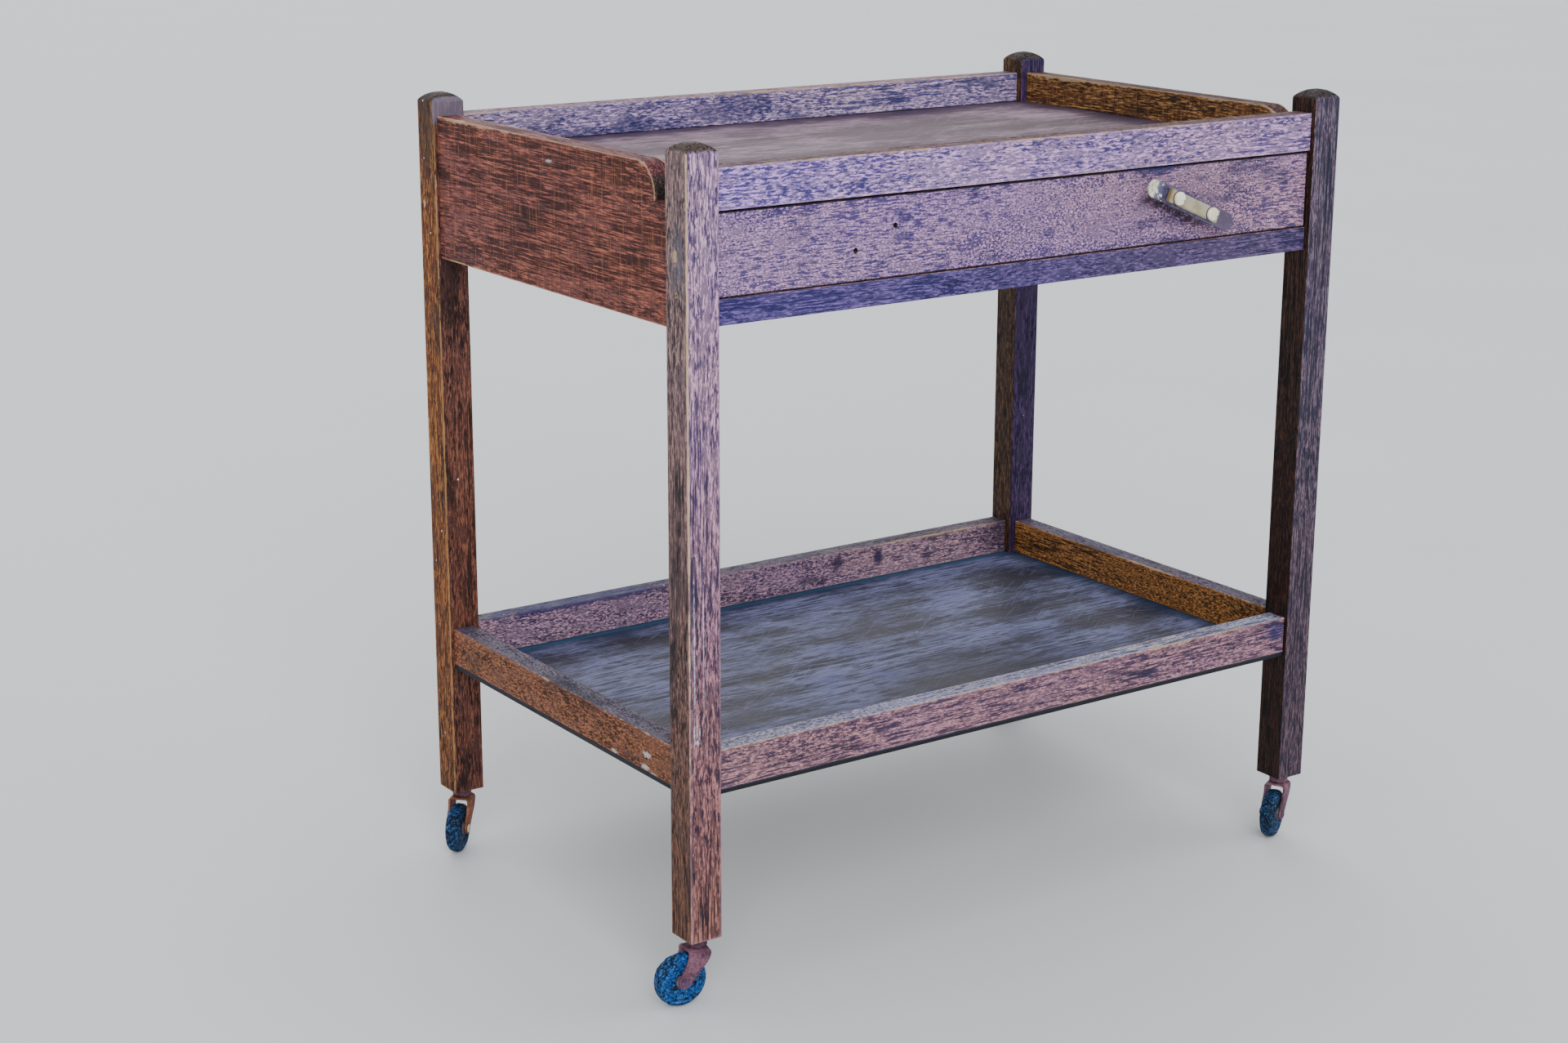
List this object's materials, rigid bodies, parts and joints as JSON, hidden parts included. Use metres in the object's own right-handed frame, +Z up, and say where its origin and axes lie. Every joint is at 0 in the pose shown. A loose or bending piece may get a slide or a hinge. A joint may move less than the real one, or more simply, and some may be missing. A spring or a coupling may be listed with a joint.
{
  "type": "book cart",
  "caption": "Wooden two-tier book cart or tea trolley: railed tray over a drawer with one sloping pull, railed shelf below, square legs on swivel casters.",
  "frame": {"origin": "on the floor, at the centre of the cart's bounding box with the casters and the pull as stored", "axes": "+Z up, +X along the cart to the right as seen from the drawer side, +Y from the drawer towards the back"},
  "size_m": [0.7654, 0.4864, 0.757],
  "materials": {
    "leg_wood": "old dark stain, worn to pale wood at the edges, satin",
    "rail_wood": "old dark stain over open grain, worn, satin",
    "panel_wood": "old red-brown stain, scratched, satin",
    "drawer_wood": "old dark stain over open grain, worn, satin",
    "tray_ply": "worn varnish, semi-gloss",
    "shelf_ply": "dark stain, scuffed, satin",
    "bare_wood": "unfinished, aged",
    "chrome": "dulled and pitted chrome plate",
    "cream_plastic": "yellowed, semi-gloss",
    "rusted_steel": "stamped steel, rusted all over",
    "rubber": "hard black rubber, dusty and chipped"
  },
  "bodies": {
    "frame": {"leg_fl": "leg_wood", "leg_fr": "leg_wood", "leg_rl": "leg_wood", "leg_rr": "leg_wood", "top_rail": "rail_wood", "drawer_rail": "rail_wood", "back_board": "rail_wood", "end_panel_left": "panel_wood", "end_panel_right": "panel_wood", "tray_board": "tray_ply", "drawer_runner_left": "bare_wood", "drawer_runner_right": "bare_wood", "drawer_guide_left": "bare_wood", "drawer_guide_right": "bare_wood", "shelf_rail_front": "rail_wood", "shelf_rail_back": "rail_wood", "shelf_rail_left": "rail_wood", "shelf_rail_right": "rail_wood", "shelf_board": "shelf_ply", "caster_fl_socket": "rusted_steel", "caster_fr_socket": "rusted_steel", "caster_rl_socket": "rusted_steel", "caster_rr_socket": "rusted_steel"},
    "drawer": {"drawer_front": "drawer_wood", "drawer_side_left": "bare_wood", "drawer_side_right": "bare_wood", "drawer_back": "bare_wood", "drawer_bottom": "bare_wood", "pull_strap": "chrome", "pull_bar": "cream_plastic", "pull_cap_1": "cream_plastic", "pull_cap_2": "cream_plastic", "pull_post_1": "chrome", "pull_post_2": "chrome", "pull_screw_1": "rusted_steel", "pull_screw_2": "rusted_steel"},
    "caster_fl_swivel": {"caster_fl_stem": "rusted_steel", "caster_fl_fork": "rusted_steel", "caster_fl_axle": "rusted_steel"},
    "caster_fl_wheel": {"caster_fl_hub": "rusted_steel", "caster_fl_tyre": "rubber"},
    "caster_fr_swivel": {"caster_fr_stem": "rusted_steel", "caster_fr_fork": "rusted_steel", "caster_fr_axle": "rusted_steel"},
    "caster_fr_wheel": {"caster_fr_hub": "rusted_steel", "caster_fr_tyre": "rubber"},
    "caster_rl_swivel": {"caster_rl_stem": "rusted_steel", "caster_rl_fork": "rusted_steel", "caster_rl_axle": "rusted_steel"},
    "caster_rl_wheel": {"caster_rl_hub": "rusted_steel", "caster_rl_tyre": "rubber"},
    "caster_rr_swivel": {"caster_rr_stem": "rusted_steel", "caster_rr_fork": "rusted_steel", "caster_rr_axle": "rusted_steel"},
    "caster_rr_wheel": {"caster_rr_hub": "rusted_steel", "caster_rr_tyre": "rubber"}
  },
  "joints": [
    {"name": "drawer_slide", "type": "slide", "parent": "frame", "child": "drawer", "axis": [0, -1, 0], "range_m": [0, 0.3]},
    {"name": "caster_fl_turn", "type": "hinge", "parent": "frame", "child": "caster_fl_swivel", "pos_m": [-0.34132, -0.2088, 0.06], "axis": [0, 0, 1], "continuous": true},
    {"name": "caster_fl_roll", "type": "hinge", "parent": "caster_fl_swivel", "child": "caster_fl_wheel", "pos_m": [-0.35813, -0.20703, 0.0245], "axis": [-0.1045, -0.9945, 0], "continuous": true},
    {"name": "caster_fr_turn", "type": "hinge", "parent": "frame", "child": "caster_fr_swivel", "pos_m": [0.36668, -0.2088, 0.06], "axis": [0, 0, 1], "continuous": true},
    {"name": "caster_fr_roll", "type": "hinge", "parent": "caster_fr_swivel", "child": "caster_fr_wheel", "pos_m": [0.35176, -0.21673, 0.0245], "axis": [0.4695, -0.8829, 0], "continuous": true},
    {"name": "caster_rl_turn", "type": "hinge", "parent": "frame", "child": "caster_rl_swivel", "pos_m": [-0.34132, 0.2272, 0.06], "axis": [0, 0, 1], "continuous": true},
    {"name": "caster_rl_roll", "type": "hinge", "parent": "caster_rl_swivel", "child": "caster_rl_wheel", "pos_m": [-0.35348, 0.21546, 0.0245], "axis": [0.6947, -0.7193, 0], "continuous": true},
    {"name": "caster_rr_turn", "type": "hinge", "parent": "frame", "child": "caster_rr_swivel", "pos_m": [0.36668, 0.2272, 0.06], "axis": [0, 0, 1], "continuous": true},
    {"name": "caster_rr_roll", "type": "hinge", "parent": "caster_rr_swivel", "child": "caster_rr_wheel", "pos_m": [0.35052, 0.22226, 0.0245], "axis": [0.2924, -0.9563, 0], "continuous": true}
  ]
}
